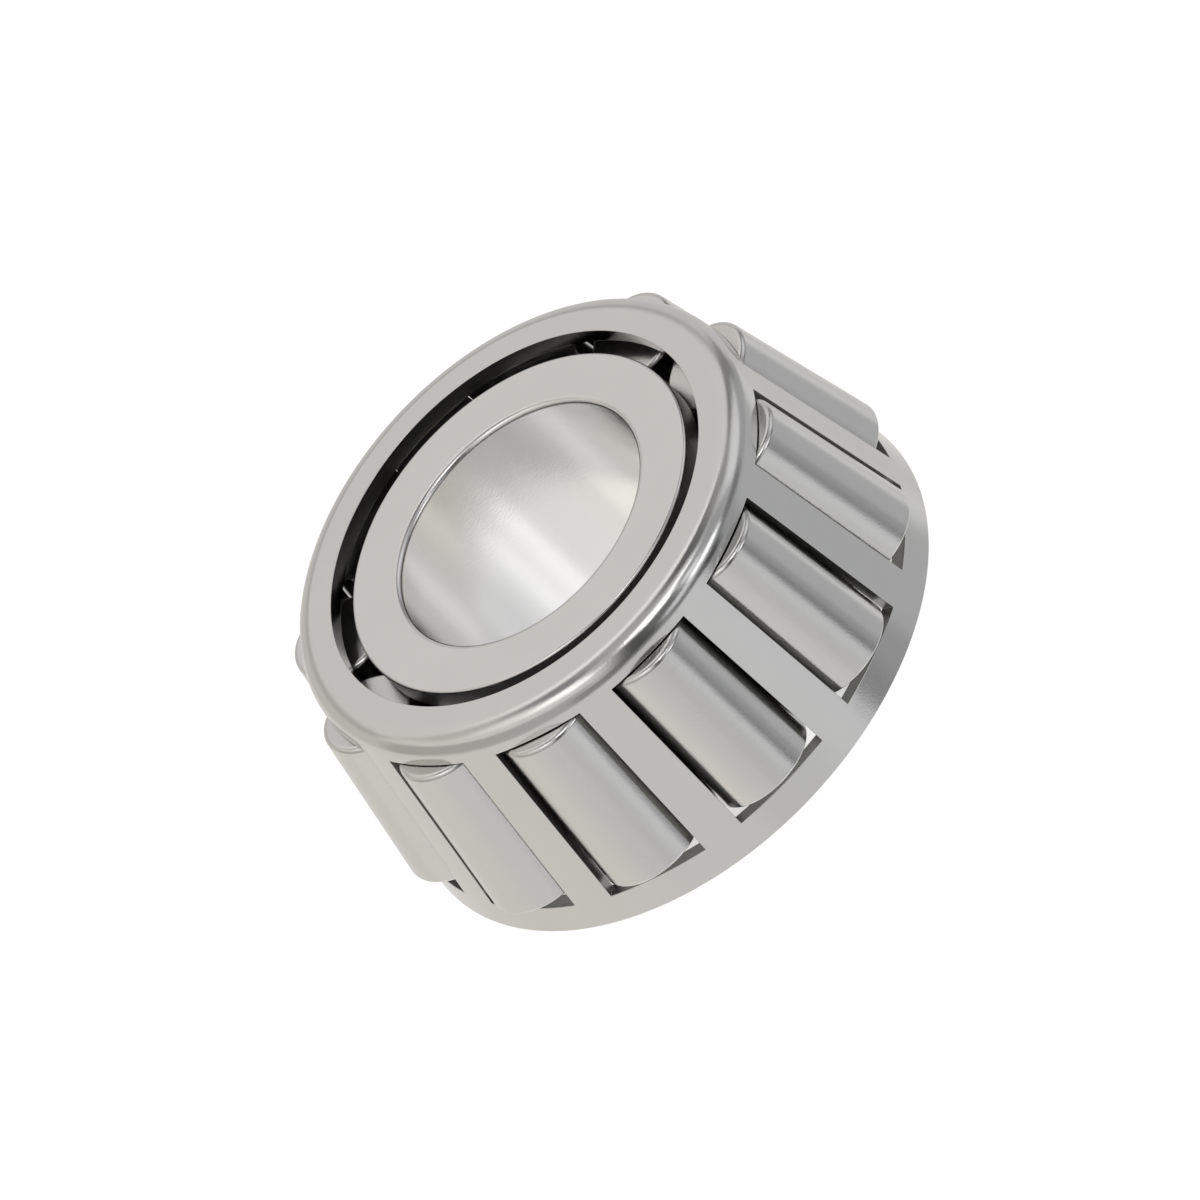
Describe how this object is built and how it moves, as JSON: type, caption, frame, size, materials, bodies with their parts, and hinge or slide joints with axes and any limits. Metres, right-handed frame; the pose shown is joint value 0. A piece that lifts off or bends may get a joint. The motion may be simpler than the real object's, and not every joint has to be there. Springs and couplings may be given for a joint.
{
  "type": "tapered roller bearing inner assembly",
  "caption": "Inner ring of a tapered roller bearing with its pressed steel cage and tapered rollers, carrying radial and thrust load on a shaft.",
  "frame": {"origin": "centre of the inner ring's back face, which the part stands on", "axes": "+Z along the bore axis towards the rollers' small ends; -Y through the middle of roller_01"},
  "size_m": [0.0448, 0.0448, 0.0214],
  "materials": {
    "ring_steel": "ground and polished bearing steel with fine circular grain",
    "roller_steel": "polished bearing steel",
    "cage_steel": "satin pressed sheet steel"
  },
  "bodies": {
    "inner_ring": {"inner_ring": "ring_steel"},
    "cage": {"cage": "cage_steel"},
    "roller_01": {"roller_01": "roller_steel"},
    "roller_02": {"roller_02": "roller_steel"},
    "roller_03": {"roller_03": "roller_steel"},
    "roller_04": {"roller_04": "roller_steel"},
    "roller_05": {"roller_05": "roller_steel"},
    "roller_06": {"roller_06": "roller_steel"},
    "roller_07": {"roller_07": "roller_steel"},
    "roller_08": {"roller_08": "roller_steel"},
    "roller_09": {"roller_09": "roller_steel"},
    "roller_10": {"roller_10": "roller_steel"},
    "roller_11": {"roller_11": "roller_steel"},
    "roller_12": {"roller_12": "roller_steel"}
  },
  "joints": [
    {"name": "cage_spin", "type": "hinge", "parent": "inner_ring", "child": "cage", "pos_m": [0, 0, 0], "axis": [0, 0, 1], "continuous": true},
    {"name": "roller_01_spin", "type": "hinge", "parent": "cage", "child": "roller_01", "pos_m": [0, -0.01754, 0.01213], "axis": [0, 0.1435, 0.9897], "continuous": true},
    {"name": "roller_02_spin", "type": "hinge", "parent": "cage", "child": "roller_02", "pos_m": [0.00877, -0.01519, 0.01213], "axis": [-0.0717, 0.1243, 0.9897], "continuous": true},
    {"name": "roller_03_spin", "type": "hinge", "parent": "cage", "child": "roller_03", "pos_m": [0.01519, -0.00877, 0.01213], "axis": [-0.1243, 0.0717, 0.9897], "continuous": true},
    {"name": "roller_04_spin", "type": "hinge", "parent": "cage", "child": "roller_04", "pos_m": [0.01754, 0, 0.01213], "axis": [-0.1435, 0, 0.9897], "continuous": true},
    {"name": "roller_05_spin", "type": "hinge", "parent": "cage", "child": "roller_05", "pos_m": [0.01519, 0.00877, 0.01213], "axis": [-0.1243, -0.0717, 0.9897], "continuous": true},
    {"name": "roller_06_spin", "type": "hinge", "parent": "cage", "child": "roller_06", "pos_m": [0.00877, 0.01519, 0.01213], "axis": [-0.0717, -0.1243, 0.9897], "continuous": true},
    {"name": "roller_07_spin", "type": "hinge", "parent": "cage", "child": "roller_07", "pos_m": [0, 0.01754, 0.01213], "axis": [0, -0.1435, 0.9897], "continuous": true},
    {"name": "roller_08_spin", "type": "hinge", "parent": "cage", "child": "roller_08", "pos_m": [-0.00877, 0.01519, 0.01213], "axis": [0.0717, -0.1243, 0.9897], "continuous": true},
    {"name": "roller_09_spin", "type": "hinge", "parent": "cage", "child": "roller_09", "pos_m": [-0.01519, 0.00877, 0.01213], "axis": [0.1243, -0.0717, 0.9897], "continuous": true},
    {"name": "roller_10_spin", "type": "hinge", "parent": "cage", "child": "roller_10", "pos_m": [-0.01754, 0, 0.01213], "axis": [0.1435, 0, 0.9897], "continuous": true},
    {"name": "roller_11_spin", "type": "hinge", "parent": "cage", "child": "roller_11", "pos_m": [-0.01519, -0.00877, 0.01213], "axis": [0.1243, 0.0717, 0.9897], "continuous": true},
    {"name": "roller_12_spin", "type": "hinge", "parent": "cage", "child": "roller_12", "pos_m": [-0.00877, -0.01519, 0.01213], "axis": [0.0717, 0.1243, 0.9897], "continuous": true}
  ],
  "couplings": [
    {"joint": "roller_01_spin", "follows": "cage_spin", "ratio": 3.6753},
    {"joint": "roller_02_spin", "follows": "cage_spin", "ratio": 3.6753},
    {"joint": "roller_03_spin", "follows": "cage_spin", "ratio": 3.6753},
    {"joint": "roller_04_spin", "follows": "cage_spin", "ratio": 3.6753},
    {"joint": "roller_05_spin", "follows": "cage_spin", "ratio": 3.6753},
    {"joint": "roller_06_spin", "follows": "cage_spin", "ratio": 3.6753},
    {"joint": "roller_07_spin", "follows": "cage_spin", "ratio": 3.6753},
    {"joint": "roller_08_spin", "follows": "cage_spin", "ratio": 3.6753},
    {"joint": "roller_09_spin", "follows": "cage_spin", "ratio": 3.6753},
    {"joint": "roller_10_spin", "follows": "cage_spin", "ratio": 3.6753},
    {"joint": "roller_11_spin", "follows": "cage_spin", "ratio": 3.6753},
    {"joint": "roller_12_spin", "follows": "cage_spin", "ratio": 3.6753}
  ]
}
